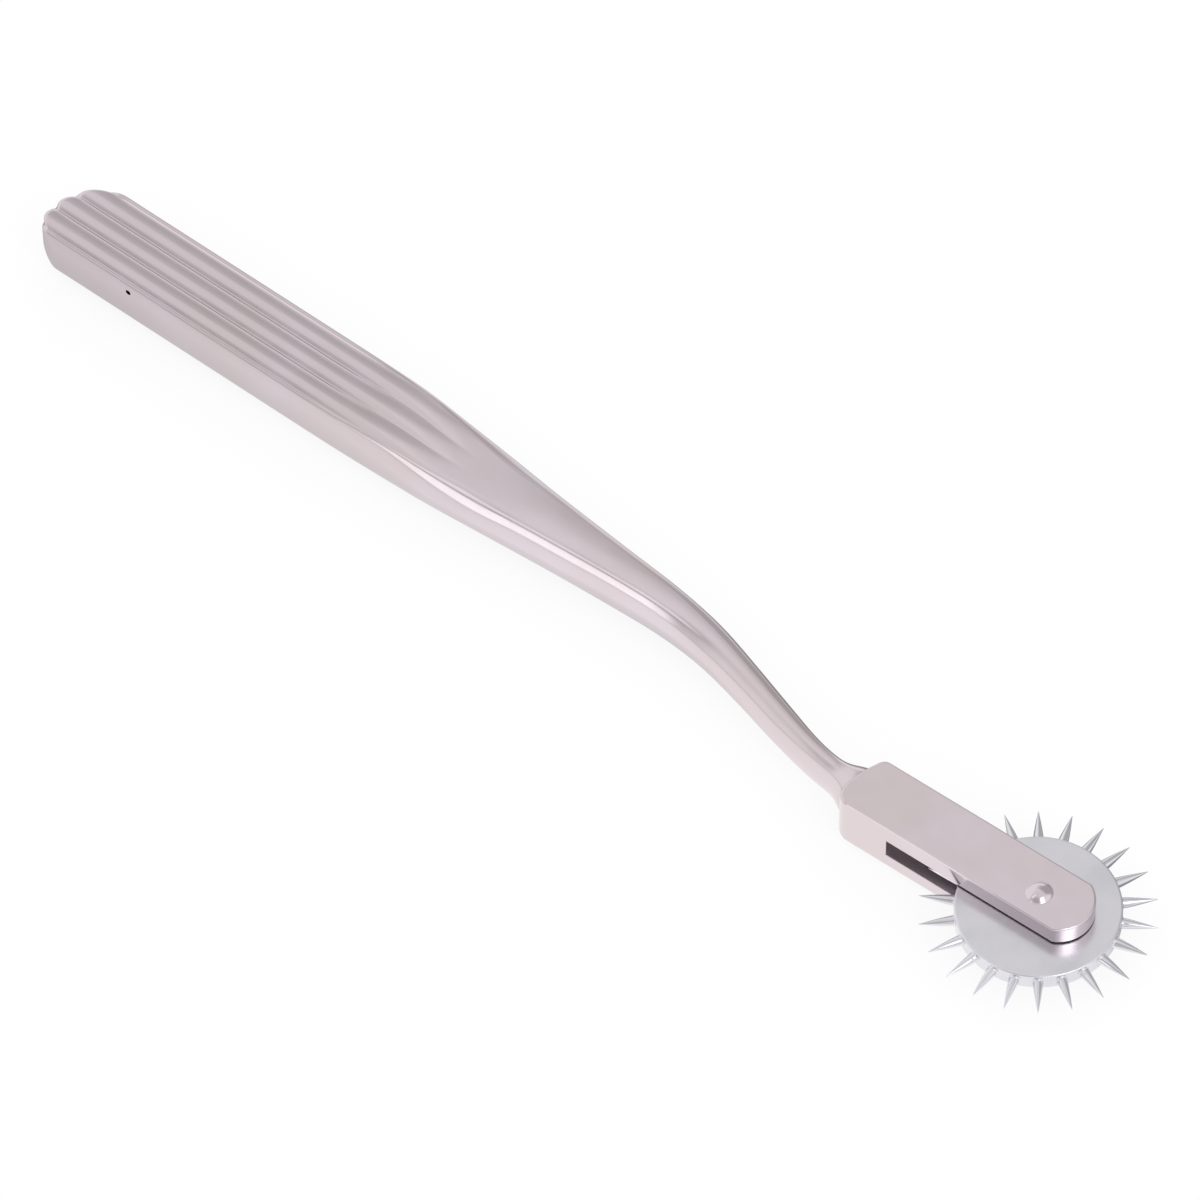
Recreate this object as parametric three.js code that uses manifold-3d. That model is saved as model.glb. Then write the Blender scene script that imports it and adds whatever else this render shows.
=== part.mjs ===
// Neurological pinwheel: a ribbed steel handle with a cranked neck, a slotted fork brazed on its end,
// and a wheel of sharp pins that runs on a rivet through the fork.
// Millimetres. +X runs from the handle to the wheel, +Z along the axle, +Y to the side the handle lies on.
// The origin is under the middle of the part, on the surface that its lowest rivet head touches.
import * as THREE from 'three';
import { mergeVertices } from 'three/addons/utils/BufferGeometryUtils.js';
import Module from 'manifold-3d';

const wasm = await Module();
wasm.setup();

// Whole instrument
const overallLength = 190.3;
const crankOffset = 8.92;

// Grip, the ribbed part of the handle
const gripLength = 52.18;
const gripWidth = 12.29;
const gripThickness = 8.29;
const endNearLength = 2.9;
const endFarLength = 8.6;
const endNoseOffset = 2.73;
const endUnderInset = 1.8;
const endEdge = 0.6;
const ribRunOut = 2.2;
const gripStraightFrom = 12;
const ribbedWidth = 10.52;
const ribCount = 3;
const ribDepth = 0.5;
const ribFadeFrom = 45.4;
const ribFadeLength = 24.27;

// Shank and neck, from the grip to the fork
const shankThickness = 7.18;
const neckWidth = 5.06;
const neckFlatWidth = 1.01;
const neckThickness = 6.27;
const flareLength = 3.54;
const flareWidth = 5.66;
const flareThickness = 6.67;
const tangDiameter = 3.64;
const tangLength = 6.07;
const tangRootLength = 1;
const tangGap = 0.1;

// Maker's dimple on the near side of the grip
const dimpleDiameter = 0.6;
const dimpleDepth = 0.5;
const dimpleFromEnd = 16.68;
const dimpleHeight = 2.43;

// Fork. It was brazed on a little askew, with its middle line beside the axle.
const forkLength = 38.73;
const forkWidth = 9;
const forkTurn = THREE.MathUtils.degToRad(1.75);
const forkSideStep = 0.78;
const cheekThickness = 2.93;
const noseRadius = 5.06;
const noseReach = 7.58;
const slotLength = 29.73;
const forkBevel = 0.35;
const forkUnderRadius = 1.52;
const forkCornerRadius = 2.22;
const forkEdgeRadius = 1.21;
const forkRearCut = 0.25;
const neckRunIn = 1.31;

// Wheel
const wheelPointDiameter = 32.1;
const discDiameter = 22.45;
const discThickness = 2.63;
const discBevel = 0.2;
const sideGap = 0.3;
const boreGap = 0.08;

// Pins
const pinCount = 22;
const pinBaseDiameter = 1.47;
const pinShankDiameter = 1.11;
const pinDepth = 3.03;
const pinHoleGap = 0.1;
const pinPointDiameter = 0.06;
const pinBellyShare = 1.25;
const wheelRestAngle = THREE.MathUtils.degToRad(-3.9);

// Axle rivet
const axleDiameter = 3.03;
const rivetHeadDiameter = 3.84;
const rivetHeadHeight = 0.81;
const axleGap = 0.04;

// How much further than its work a cutting tool runs
const overrun = 1;

// Fineness of the round shapes
const ribSteps = 6;
const sideSteps = 9;
const fadeStations = 4;
const shankStations = 30;
const roundSegments = 32;
const cornerSegments = 8;
const discSegments = 88;
const pinSegments = 10;
const taperSteps = 4;
const domeSteps = 4;

// Places that follow from the sizes
const slotWidth = discThickness + 2 * sideGap;
const forkThickness = slotWidth + 2 * cheekThickness;
const axlePlane = forkThickness / 2 + rivetHeadHeight;
const axleX = overallLength - wheelPointDiameter / 2;
const forkFrontX = axleX + noseReach;
const forkRearX = forkFrontX - forkLength + forkRearCut;
const slotRearX = forkFrontX - slotLength;
const shankLength = forkRearX + neckRunIn - gripLength;
const pinAngles = Array.from({ length: pinCount }, (_, place) => wheelRestAngle + 2 * Math.PI * place / pinCount);
const frontX = axleX + wheelPointDiameter / 2 * Math.max(...pinAngles.map(Math.cos));

// Course of the shank and neck, at even steps from the grip to the fork.
// Side steps: 1 is in line with the grip, 0 in line with the wheel.
const sideStepShares = [1, 1, 0.97, 0.955, 0.94, 0.93, 0.915, 0.89, 0.785, 0.565, 0.315, 0.1, 0.03];
// Widths and flats: 1 is as wide as the grip, 0 as narrow as the neck.
const widthShares = [1, 1, 0.99, 0.86, 0.63, 0.455, 0.29, 0.17, 0.1, 0.015, -0.045, -0.16, -0.17];
const flatShares = [1, 0.95, 0.79, 0.585, 0.5, 0.37, 0.265, 0.17, 0.065, 0.04, 0, 0, 0];
// Thicknesses: how far they have come from the grip's to the shank's, then from that to the neck's
const toShankShares = [0, 0.1, 0.7, 1, 1, 1, 1, 1, 1, 1, 1, 1, 1];
const toNeckShares = [0, 0, 0, 0, 0, 0, 0, 0.3, 0.7, 0.95, 1, 1, 1];
// Exponents of the section's sides: a half is boxy, 1 is elliptical
const gripSideShare = 0.7;
const shankSideShare = 1;
// The grip's upright end: how much of the section each ring on it takes, and what is left of the ribs there
const endRingShares = [0.1, 0.4, 0.7, 0.92];
const endRibShare = 0.5;

// A smooth run through values set at even steps
function smoothRun(values) {
  const curve = new THREE.SplineCurve(values.map((value, step) => new THREE.Vector2(step, value)));
  return share => curve.getPoint(share).y;
}

const sideStepAt = smoothRun(sideStepShares);
const widthAt = smoothRun(widthShares);
const flatAt = smoothRun(flatShares);
const toShankAt = smoothRun(toShankShares);
const toNeckAt = smoothRun(toNeckShares);
const tangY = crankOffset * sideStepAt(1);

// A closed mesh as a solid that can be joined and cut
function solid(geometry) {
  const bare = geometry.clone();
  bare.deleteAttribute('normal');
  bare.deleteAttribute('uv');
  const merged = mergeVertices(bare);
  return new wasm.Manifold(new wasm.Mesh({
    numProp: 3,
    vertProperties: Float32Array.from(merged.getAttribute('position').array),
    triVerts: Uint32Array.from(merged.index.array),
  }));
}

// A solid back as a geometry
function geometryOf(body) {
  const mesh = body.getMesh();
  const geometry = new THREE.BufferGeometry();
  geometry.setAttribute('position', new THREE.BufferAttribute(mesh.vertProperties, 3));
  geometry.setIndex(new THREE.BufferAttribute(mesh.triVerts, 1));
  geometry.computeVertexNormals();
  return geometry;
}

// Points round the section, anticlockwise seen from the wheel: far side, top, near side, underside
function sectionMarks() {
  const marks = [];
  const faceSteps = ribCount * ribSteps;
  for (const side of [1, -1]) {
    for (let step = 1; step < sideSteps; step += 1) {
      marks.push({ side, angle: Math.PI * (step / sideSteps - 1 / 2) });
    }
    for (let step = 0; step <= faceSteps; step += 1) {
      marks.push({ side: 0, up: side, across: side * (1 - 2 * step / faceSteps) });
    }
  }
  return marks;
}

// How far the surface drops below a rib's crest, as a share of the rib's depth
function ribDrop(across) {
  const place = (across + 1) / 2 * ribCount;
  const fromCrest = 2 * Math.abs(place - Math.min(Math.floor(place), ribCount - 1) - 1 / 2);
  return fromCrest ** 2;
}

// How far the grip's upright end lies behind its foremost place, which is beside the grip's middle
function endInset(across, up) {
  const beside = across + endNoseOffset;
  const reach = gripWidth / 2 + Math.sign(beside) * endNoseOffset;
  const share = Math.min(Math.abs(beside) / reach, 1);
  const low = Math.max(0, -up) / (gripThickness / 2);
  const length = beside < 0 ? endNearLength : endFarLength;
  return length * (1 - Math.sqrt(1 - share ** 2)) + endUnderInset * low ** 2;
}

// One point of the section. The sides swell out from the outermost grooves.
function sectionPoint(mark, size) {
  let across = size.halfFlat * mark.across;
  let up = mark.up * (size.halfThickness - size.ribs * ribDepth * ribDrop(mark.across));
  if (mark.side !== 0) {
    const bulge = Math.abs(Math.cos(mark.angle)) ** size.sideShare;
    const rise = Math.sign(Math.sin(mark.angle)) * Math.abs(Math.sin(mark.angle)) ** size.sideShare;
    across = mark.side * THREE.MathUtils.lerp(size.halfFlat, size.halfWidth, bulge);
    up = mark.side * rise * (size.halfThickness - size.ribs * ribDepth * (1 - bulge));
  }
  across *= size.share;
  up *= size.share;
  return { x: size.behindEnd === undefined ? size.x : endInset(across, up) + size.behindEnd, across, up };
}

// Size of the section at a place along the grip or the shank
function sectionSize(x) {
  const share = Math.max(0, x - gripLength) / shankLength;
  const { lerp, smoothstep } = THREE.MathUtils;
  const flare = (Math.max(0, x - (forkRearX - flareLength)) / flareLength) ** 2;
  const width = lerp(neckWidth, gripWidth, widthAt(share));
  const shank = lerp(gripThickness, shankThickness, toShankAt(share));
  const thickness = lerp(shank, neckThickness, toNeckAt(share));
  const ribs = 1 - smoothstep(x, ribFadeFrom, ribFadeFrom + ribFadeLength);
  return {
    x,
    y: crankOffset * sideStepAt(share),
    halfWidth: lerp(width, flareWidth, flare) / 2,
    halfFlat: lerp(neckFlatWidth, ribbedWidth, flatAt(share)) / 2,
    halfThickness: lerp(thickness, flareThickness, flare) / 2,
    ribs,
    sideShare: lerp(shankSideShare, gripSideShare, ribs),
    share: 1,
  };
}

// Sections of the handle from its rounded end to the fork
function handleSections() {
  const end = sectionSize(0);
  const sections = endRingShares.map(share => ({ ...end, share, ribs: endRibShare, behindEnd: 0 }));
  sections.push({ ...end, ribs: endRibShare, behindEnd: endEdge });
  sections.push({ ...end, behindEnd: ribRunOut });
  sections.push(sectionSize(gripStraightFrom));
  for (let step = 0; step < fadeStations; step += 1) {
    sections.push(sectionSize(THREE.MathUtils.lerp(ribFadeFrom, gripLength, step / fadeStations)));
  }
  for (let step = 0; step <= shankStations; step += 1) {
    sections.push(sectionSize(THREE.MathUtils.lerp(gripLength, forkRearX, step / shankStations)));
  }
  return sections;
}

// The handle: one round outline, extruded in as many steps as it has sections and shaped to them
function handleGeometry() {
  const marks = sectionMarks();
  const sections = handleSections();
  const ring = new THREE.Shape(marks.map((mark, place) => {
    const turn = 2 * Math.PI * place / marks.length;
    return new THREE.Vector2(Math.cos(turn), Math.sin(turn));
  }));
  const steps = sections.length - 1;
  const geometry = new THREE.ExtrudeGeometry(ring, { depth: 1, steps, bevelEnabled: false });
  const position = geometry.getAttribute('position');
  for (let vertex = 0; vertex < position.count; vertex += 1) {
    const turn = Math.atan2(position.getY(vertex), position.getX(vertex)) / (2 * Math.PI);
    const mark = marks[(Math.round(turn * marks.length) + marks.length) % marks.length];
    const size = sections[Math.round(position.getZ(vertex) * steps)];
    const point = sectionPoint(mark, size);
    position.setXYZ(vertex, point.x, size.y + point.across, axlePlane + point.up);
  }
  return geometry;
}

// A round bar or bore along X, from one place to another
function roundAlongX(diameter, fromX, toX, y) {
  const bar = new THREE.CylinderGeometry(diameter / 2, diameter / 2, toX - fromX, roundSegments);
  return bar.rotateZ(-Math.PI / 2).translate((fromX + toX) / 2, y, axlePlane);
}

// The handle with its tang, and the dimple drilled in the grip's near side
function handle() {
  const tang = solid(roundAlongX(tangDiameter, forkRearX - tangRootLength, forkRearX + tangLength, tangY));
  const side = sectionSize(dimpleFromEnd);
  const drill = new THREE.CylinderGeometry(dimpleDiameter / 2, dimpleDiameter / 2, 2 * dimpleDepth, pinSegments);
  drill.translate(dimpleFromEnd, side.y - side.halfWidth, axlePlane + dimpleHeight);
  return geometryOf(solid(handleGeometry()).add(tang).subtract(solid(drill)));
}

// A straight bore or pin along Z
function roundAlongZ(diameter, height, x, y, z) {
  const bar = new THREE.CylinderGeometry(diameter / 2, diameter / 2, height, roundSegments);
  return bar.rotateX(Math.PI / 2).translate(x, y, z);
}

// The fork's outline in plan, about the axle: a round nose and two rounded rear corners
function forkPlan() {
  const half = forkWidth / 2;
  const noseTurn = Math.asin(half / noseRadius);
  const cornerX = noseReach - forkLength + forkCornerRadius;
  const cornerY = half - forkCornerRadius;
  const plan = new THREE.Shape();
  plan.absarc(noseReach - noseRadius, 0, noseRadius, -noseTurn, noseTurn, false);
  plan.absarc(cornerX, cornerY, forkCornerRadius, Math.PI / 2, Math.PI, false);
  plan.absarc(cornerX, -cornerY, forkCornerRadius, Math.PI, 3 * Math.PI / 2, false);
  plan.closePath();
  return plan;
}

// The fork's outline from the side: two cheeks, the slot between them and rounded rear corners
function forkSide() {
  const half = forkThickness / 2;
  const front = forkFrontX + overrun;
  const cornerX = forkRearX + forkEdgeRadius;
  const cornerZ = half - forkEdgeRadius;
  const side = new THREE.Shape();
  side.absarc(cornerX, cornerZ, forkEdgeRadius, Math.PI / 2, Math.PI, false);
  side.absarc(cornerX, -cornerZ, forkEdgeRadius, Math.PI, 3 * Math.PI / 2, false);
  side.lineTo(front, -half);
  side.lineTo(front, -slotWidth / 2);
  side.lineTo(slotRearX, -slotWidth / 2);
  side.lineTo(slotRearX, slotWidth / 2);
  side.lineTo(front, slotWidth / 2);
  side.lineTo(front, half);
  side.closePath();
  return side;
}

// The fork's outline from its end: an upright block with rounded lower edges
function forkEnd() {
  const half = forkWidth / 2;
  const top = forkThickness / 2;
  const cornerY = half - forkUnderRadius;
  const cornerZ = forkUnderRadius - top;
  const end = new THREE.Shape();
  end.absarc(cornerY, cornerZ, forkUnderRadius, -Math.PI / 2, 0, false);
  end.lineTo(half, top);
  end.lineTo(-half, top);
  end.absarc(-cornerY, cornerZ, forkUnderRadius, Math.PI, 3 * Math.PI / 2, false);
  end.closePath();
  return end;
}

// The fork: what its three outlines have in common, bored for the axle and the tang
function fork() {
  const block = new THREE.ExtrudeGeometry(forkPlan(), {
    depth: forkThickness - 2 * forkBevel,
    bevelThickness: forkBevel,
    bevelSize: forkBevel,
    bevelOffset: -forkBevel,
    bevelSegments: 2,
    curveSegments: cornerSegments,
  });
  block.translate(0, 0, forkBevel - forkThickness / 2);
  const barDepth = forkLength + 2 * overrun;
  const bar = new THREE.ExtrudeGeometry(forkEnd(), {
    depth: barDepth,
    bevelEnabled: false,
    curveSegments: cornerSegments,
  });
  bar.rotateX(Math.PI / 2).rotateZ(Math.PI / 2).translate(noseReach + overrun - barDepth, 0, 0);
  for (const geometry of [block, bar]) {
    geometry.translate(0, forkSideStep, axlePlane).rotateZ(forkTurn).translate(axleX, 0, 0);
  }
  const sideDepth = 2 * forkWidth;
  const cheeks = new THREE.ExtrudeGeometry(forkSide(), {
    depth: sideDepth,
    bevelEnabled: false,
    curveSegments: cornerSegments,
  });
  cheeks.rotateX(Math.PI / 2).translate(0, sideDepth / 2, axlePlane);
  const bore = roundAlongZ(axleDiameter + 2 * axleGap, forkThickness + 2 * overrun, axleX, 0, axlePlane);
  const socket = roundAlongX(tangDiameter + 2 * tangGap, forkRearX - overrun, forkRearX + tangLength + tangGap, tangY);
  const body = solid(block).intersect(solid(bar)).intersect(solid(cheeks));
  return geometryOf(body.subtract(solid(bore)).subtract(solid(socket)));
}

// The rivet: a pin as long as the fork is thick, with a low dome at each end
function axleRivet() {
  const half = forkThickness / 2;
  const radius = rivetHeadDiameter / 2;
  const domeRadius = (radius ** 2 + rivetHeadHeight ** 2) / (2 * rivetHeadHeight);
  const turn = Math.asin(radius / domeRadius);
  const profile = [];
  for (let step = 0; step <= domeSteps; step += 1) {
    const angle = turn * step / domeSteps;
    const rise = domeRadius * Math.cos(angle) - (domeRadius - rivetHeadHeight);
    profile.push(new THREE.Vector2(domeRadius * Math.sin(angle), half + rise));
  }
  profile.push(new THREE.Vector2(axleDiameter / 2, half));
  const mirrored = profile.map(point => new THREE.Vector2(point.x, -point.y)).reverse();
  profile[0].x = 0;
  mirrored[mirrored.length - 1].x = 0;
  const rivet = new THREE.LatheGeometry([...profile, ...mirrored].reverse(), roundSegments);
  return rivet.rotateX(Math.PI / 2);
}

// The wheel's disc: a bored ring with bevelled rims and a radial hole for each pin
function wheelDisc() {
  const outer = discDiameter / 2;
  const inner = axleDiameter / 2 + boreGap;
  const half = discThickness / 2;
  const profile = [
    [inner, -half], [outer - discBevel, -half], [outer, -half + discBevel],
    [outer, half - discBevel], [outer - discBevel, half], [inner, half], [inner, -half],
  ].map(([radius, height]) => new THREE.Vector2(radius, height));
  const holeLength = pinDepth + overrun;
  let disc = solid(new THREE.LatheGeometry(profile, discSegments).rotateX(Math.PI / 2));
  for (const angle of pinAngles) {
    const holeRadius = pinShankDiameter / 2 + pinHoleGap;
    const hole = new THREE.CylinderGeometry(holeRadius, holeRadius, holeLength, pinSegments);
    hole.rotateZ(-Math.PI / 2).translate(outer - pinDepth + holeLength / 2, 0, 0).rotateZ(angle);
    disc = disc.subtract(solid(hole));
  }
  return geometryOf(disc);
}

// A pin: a straight shank for its hole, then a slightly bellied taper to the point
function pinGeometry() {
  const base = discDiameter / 2 + pinHoleGap;
  const shank = pinShankDiameter / 2;
  const inner = discDiameter / 2 - pinDepth + pinHoleGap;
  const taper = wheelPointDiameter / 2 - base;
  const profile = [new THREE.Vector2(0, inner), new THREE.Vector2(shank, inner), new THREE.Vector2(shank, base)];
  for (let step = 0; step <= taperSteps; step += 1) {
    const share = step / taperSteps;
    const radius = THREE.MathUtils.lerp(pinBaseDiameter, pinPointDiameter, share ** pinBellyShare) / 2;
    profile.push(new THREE.Vector2(radius, base + taper * share));
  }
  profile.push(new THREE.Vector2(0, base + taper));
  return new THREE.LatheGeometry(profile, pinSegments).rotateZ(-Math.PI / 2);
}

// Satin steel of the handle, fork and rivet, and the bright plating of the wheel
const satinSteel = new THREE.MeshStandardMaterial({ color: 0xc6bec3, roughness: 0.38, metalness: 1 });
const brightSteel = new THREE.MeshStandardMaterial({ color: 0xcdcdd1, roughness: 0.08, metalness: 1 });

function piece(name, geometry, material) {
  const mesh = new THREE.Mesh(geometry, material.clone());
  mesh.name = name;
  return mesh;
}

const pinwheel = new THREE.Group();
pinwheel.position.x = -frontX / 2;
pinwheel.add(piece('handle', handle(), satinSteel));
pinwheel.add(piece('fork', fork(), satinSteel));

const axle = new THREE.Group();
axle.position.set(axleX, 0, axlePlane);
axle.add(piece('axle_rivet', axleRivet(), satinSteel));
axle.add(piece('wheel_disc', wheelDisc(), brightSteel));
pinAngles.forEach((angle, place) => {
  const pin = piece(`pin_${String(place + 1).padStart(2, '0')}`, pinGeometry(), brightSteel);
  pin.rotation.z = angle;
  axle.add(pin);
});
pinwheel.add(axle);

export default pinwheel;
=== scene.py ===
"""Neurological pinwheel: the fine pieces, finishes and studio that dress its measured frame."""
import math

import bmesh
import bpy
from bpy.props import FloatProperty, FloatVectorProperty, IntProperty, PointerProperty
from bpy.types import Operator, Panel, PropertyGroup
from mathutils import Matrix, Vector


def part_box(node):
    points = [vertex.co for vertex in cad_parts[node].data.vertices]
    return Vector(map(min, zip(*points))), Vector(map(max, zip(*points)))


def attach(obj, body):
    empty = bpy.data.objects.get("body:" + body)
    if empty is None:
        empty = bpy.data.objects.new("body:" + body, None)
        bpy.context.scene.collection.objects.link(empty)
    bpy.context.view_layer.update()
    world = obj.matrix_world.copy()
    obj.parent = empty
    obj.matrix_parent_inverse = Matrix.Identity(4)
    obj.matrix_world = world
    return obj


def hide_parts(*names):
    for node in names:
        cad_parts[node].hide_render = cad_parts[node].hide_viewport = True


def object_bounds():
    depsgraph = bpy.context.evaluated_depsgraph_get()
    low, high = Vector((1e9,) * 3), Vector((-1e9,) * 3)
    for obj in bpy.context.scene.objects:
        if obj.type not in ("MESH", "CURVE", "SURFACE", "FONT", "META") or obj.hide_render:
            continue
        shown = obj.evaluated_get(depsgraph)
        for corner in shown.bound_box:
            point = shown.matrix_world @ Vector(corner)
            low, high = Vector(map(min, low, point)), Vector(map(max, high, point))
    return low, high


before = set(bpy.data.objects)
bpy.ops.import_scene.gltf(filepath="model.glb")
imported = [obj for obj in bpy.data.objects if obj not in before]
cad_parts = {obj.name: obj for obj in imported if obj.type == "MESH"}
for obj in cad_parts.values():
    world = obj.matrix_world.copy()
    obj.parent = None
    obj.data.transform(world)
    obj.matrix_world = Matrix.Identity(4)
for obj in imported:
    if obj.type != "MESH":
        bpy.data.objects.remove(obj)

bl_info = {
    "name": "Neurological pinwheel",
    "version": (1, 0, 0),
    "blender": (4, 5, 0),
    "location": "View3D > Sidebar > Pinwheel",
    "description": "Makes a steel pinwheel with a ribbed handle, a slotted fork and a wheel of pins",
    "category": "Add Mesh",
}

MM = 0.001
FRAME_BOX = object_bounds()
DISC_LOW, DISC_HIGH = (Vector(corner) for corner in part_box("wheel_disc"))
HANDLE_LOW = Vector(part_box("handle")[0])
AXLE = (DISC_LOW + DISC_HIGH) / 2
PIN_COUNT = sum(name.startswith("pin_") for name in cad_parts)
# Points nearer than the first are merged, and measures nearer than the second count as equal
MERGE_DISTANCE = 0.0005 * MM
CLOSE = 0.01 * MM

# Course of the shank and neck, at even steps from the grip to the fork.
# Side steps: 1 is in line with the grip, 0 in line with the wheel.
SIDE_STEP_SHARES = (1, 1, 0.97, 0.955, 0.94, 0.93, 0.915, 0.89, 0.785, 0.565, 0.315, 0.1, 0.03)
# Widths and flats: 1 is as wide as the grip, 0 as narrow as the neck.
WIDTH_SHARES = (1, 1, 0.99, 0.86, 0.63, 0.455, 0.29, 0.17, 0.1, 0.015, -0.045, -0.16, -0.17)
FLAT_SHARES = (1, 0.95, 0.79, 0.585, 0.5, 0.37, 0.265, 0.17, 0.065, 0.04, 0, 0, 0)
# Thicknesses: how far they have come from the grip's to the shank's, then from that to the neck's
TO_SHANK_SHARES = (0, 0.1, 0.7, 1, 1, 1, 1, 1, 1, 1, 1, 1, 1)
TO_NECK_SHARES = (0, 0, 0, 0, 0, 0, 0, 0.3, 0.7, 0.95, 1, 1, 1)


def length(name, description, default):
    """A length that the sidebar shows in the scene's units."""
    return FloatProperty(name=name, description=description, default=default,
                         min=0, subtype="DISTANCE", unit="LENGTH", precision=4)


def colour(name, description, default):
    """A colour, given as it should look on screen."""
    return FloatVectorProperty(name=name, description=description, size=3, min=0, max=1,
                               default=[screen_to_light(part) for part in default], subtype="COLOR")


def screen_to_light(value):
    """One part of a screen colour, 0 to 255, as light."""
    share = value / 255
    return share / 12.92 if share <= 0.04045 else ((share + 0.055) / 1.055) ** 2.4


# ---------------------------------------------------------------- sizes and colours


class PinwheelHandle(PropertyGroup):
    crank: length("Crank", "How far the grip lies beside the wheel's line", 8.92 * MM)
    grip: length("Grip length", "Length of the ribbed part at full width", 52.18 * MM)
    width: length("Grip width", "Width across the grip's swollen sides", 12.29 * MM)
    thickness: length("Grip thickness", "Height of the grip over its ribs", 8.29 * MM)
    end_near: length("End rounding, near", "Length of the end's rounding on the near side", 2.9 * MM)
    end_far: length("End rounding, far", "Length of the end's rounding on the far side", 8.6 * MM)
    end_nose: length("End offset", "How far the end's foremost place lies to the near side", 2.73 * MM)
    end_scallop: length("End scallops", "How far the grooves cut back into the end", 0.7 * MM)
    end_under: length("End underside", "How far the end slopes in under the grip", 1.8 * MM)
    ribbed_width: length("Ribbed width", "Width of the three ribs inside the outer grooves", 10.52 * MM)
    crown: FloatProperty(name="Crown", description="How crowned the shank's flats are, 0 is plain",
                         default=0.028, min=0, max=0.2)
    near_slope: FloatProperty(name="Near slope", default=1.18, min=0.5, max=2,
                              description="How slanted the shank's upper near side is, 1 is round")
    crown_from: length("Crown from", "Distance from the end where the crown starts", 72 * MM)
    crown_run: length("Crown run", "Length over which the crown rises", 18 * MM)
    rib_depth: length("Groove depth", "Depth of the grooves between the ribs", 0.5 * MM)
    fade_from: length("Ribs run out from", "Distance from the end where the run-out starts", 45.4 * MM)
    fade_length: length("Run-out", "Length over which the ribs run out", 26 * MM)
    shank_thickness: length("Shank thickness", "Height of the shank", 7.18 * MM)
    neck_width: length("Neck width", "Width of the neck before the fork", 5.06 * MM)
    neck_flat: length("Neck flat", "Width of the flat on top of the neck", 1.01 * MM)
    neck_thickness: length("Neck thickness", "Height of the neck", 6.27 * MM)
    flare: length("Flare length", "Length over which the neck widens to the fork", 3.54 * MM)
    flare_width: length("Flare width", "Width of the neck where it meets the fork", 7.4 * MM)
    flare_thickness: length("Flare thickness", "Height of the neck where it meets the fork", 7.7 * MM)
    sunk: length("Sunk length", "How far the flared neck reaches into the fork's rear", 2 * MM)
    tang: length("Tang length", "Length of the tang inside the fork", 6.07 * MM)
    tang_diameter: length("Tang diameter", "Diameter of the tang inside the fork", 3.64 * MM)
    dimple: length("Dimple", "Width of the small dimple in the grip's side", 0.6 * MM)
    dimple_from_end: length("Dimple from end", "Distance of the dimple from the grip's end", 16.68 * MM)
    dimple_height: length("Dimple height", "Height of the dimple over the handle's middle", 2.38 * MM)


class PinwheelFork(PropertyGroup):
    length: length("Fork length", "Length from the nose to the rear", 38.48 * MM)
    width: length("Fork width", "Width of the fork", 9 * MM)
    cheek: length("Cheek thickness", "Thickness of each cheek", 2.93 * MM)
    slot: length("Slot length", "Depth of the slot from the nose", 29.73 * MM)
    gap: length("Slot width", "Height of the slot between the cheeks", 3.23 * MM)
    nose_radius: length("Nose radius", "Radius of the nose in plan", 5.06 * MM)
    nose_reach: length("Nose reach", "How far the nose reaches beyond the axle", 7.58 * MM)
    side_step: length("Side step", "How far the fork's middle line lies beside the axle", 0.78 * MM)
    turn: FloatProperty(name="Turn", description="How far the fork was brazed on askew",
                        default=math.radians(1.75), subtype="ANGLE", unit="ROTATION")
    near_corner: length("Near corner", "Radius of the near rear corner in plan", 2.22 * MM)
    far_corner: length("Far corner", "Radius of the far rear corner in plan", 0.8 * MM)
    rear_slant: length("Rear slant", "How far the far half of the rear slants forward", 2 * MM)
    heel_edge: length("Heel edge", "Rounding of the lower rear edge", 2.2 * MM)
    rear_edge: length("Rear edge", "Rounding of the upper rear edge", 0.9 * MM)
    under_edge: length("Under edge", "Rounding of the lower edges", 1.52 * MM)
    top_edge: length("Top edge", "Rounding of the upper edges", 0.5 * MM)
    slot_edge: length("Slot edge", "Rounding of the slot's edges", 0.15 * MM)


class PinwheelWheel(PropertyGroup):
    disc: length("Disc diameter", "Diameter of the disc", 22.45 * MM)
    thickness: length("Disc thickness", "Thickness of the disc", 2.63 * MM)
    rim: length("Rim rounding", "Rounding of the disc's rims", 0.25 * MM)
    bore: length("Bore", "Diameter of the bore round the axle", 3.19 * MM)
    points: length("Point circle", "Diameter of the circle through the pins' points", 32.1 * MM)
    pins: IntProperty(name="Pins", description="Number of pins", default=PIN_COUNT, min=1)
    pin_base: length("Pin base", "Diameter of a pin at the disc", 1.47 * MM)
    pin_foot: length("Pin foot", "Diameter of the small fillet at a pin's foot", 1.77 * MM)
    pin_depth: length("Pin depth", "How deep a pin sits in the disc", 2.93 * MM)
    pin_point: length("Pin point", "Diameter of the point", 0.06 * MM)
    belly: FloatProperty(name="Belly", description="How bellied the taper is, 1 is a plain cone",
                         default=1.25, min=1, max=3)
    rest: FloatProperty(name="Rest angle", description="Angle of the first pin at rest",
                        default=math.radians(-3.9), subtype="ANGLE", unit="ROTATION")


class PinwheelRivet(PropertyGroup):
    diameter: length("Axle diameter", "Diameter of the rivet between the cheeks", 3.03 * MM)
    head: length("Head diameter", "Diameter of each rivet head", 3.84 * MM)
    height: length("Head height", "Height of each rivet head", 0.81 * MM)
    fillet: length("Foot fillet", "Radius of the soft foot of each rivet head", 0.35 * MM)


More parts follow.
